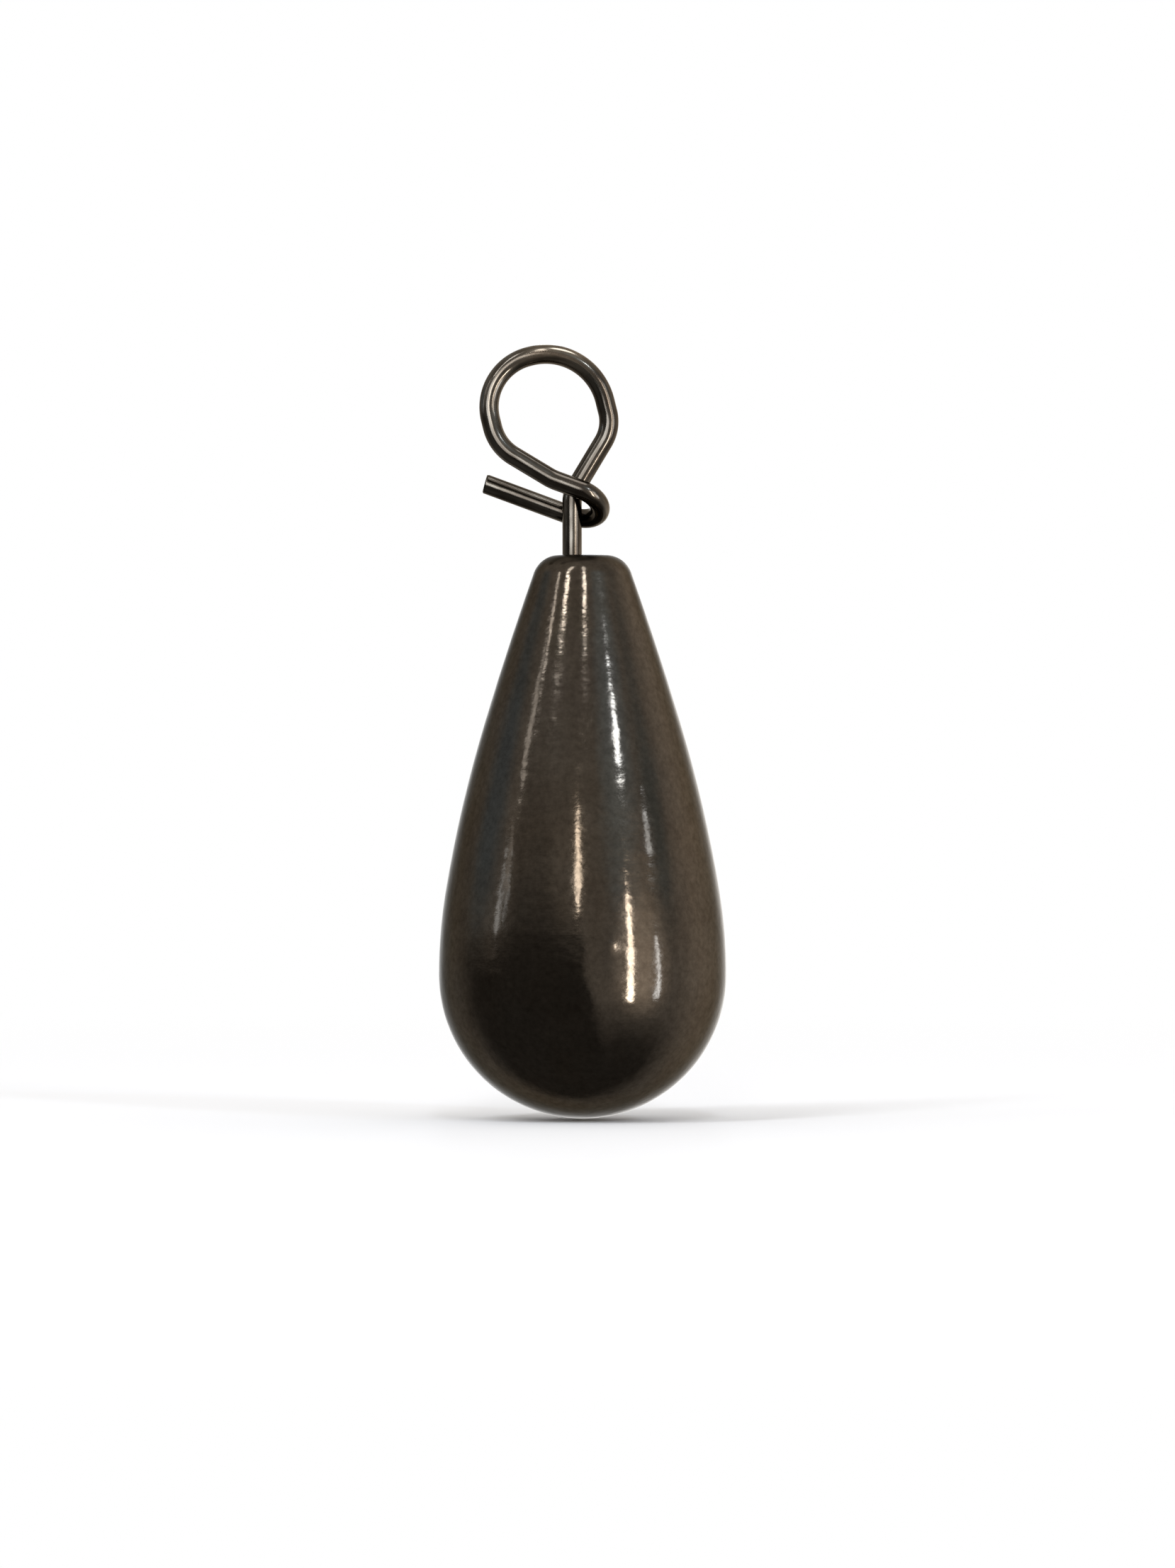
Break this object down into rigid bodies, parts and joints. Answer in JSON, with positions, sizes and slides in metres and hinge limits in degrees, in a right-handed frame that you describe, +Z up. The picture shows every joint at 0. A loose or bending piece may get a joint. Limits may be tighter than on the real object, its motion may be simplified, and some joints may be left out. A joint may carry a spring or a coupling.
{
  "type": "fishing sinker",
  "caption": "Teardrop drop-shot sinker of dark polished metal, with a swivelling bent-wire eye whose free tail pinches the line.",
  "frame": {"origin": "centre of the wire ring, where the fishing line pulls", "axes": "+Z up along the sinker's long axis, the ring above and the weight below; +Y through the ring from front to back; +X to the right seen from the front"},
  "size_m": [0.0088, 0.0088, 0.0237],
  "materials": {
    "tungsten": "polished",
    "barrel_brass": "satin",
    "resin": "gloss",
    "spring_wire": "polished"
  },
  "bodies": {
    "eye": {"line_eye": "spring_wire"},
    "weight": {"sinker_body": "tungsten", "swivel_barrel": "barrel_brass", "bonding_resin": "resin"}
  },
  "joints": [
    {"name": "swivel", "type": "hinge", "parent": "eye", "child": "weight", "pos_m": [0.0007, 0, -0.0043], "axis": [0, 0, 1], "continuous": true}
  ]
}
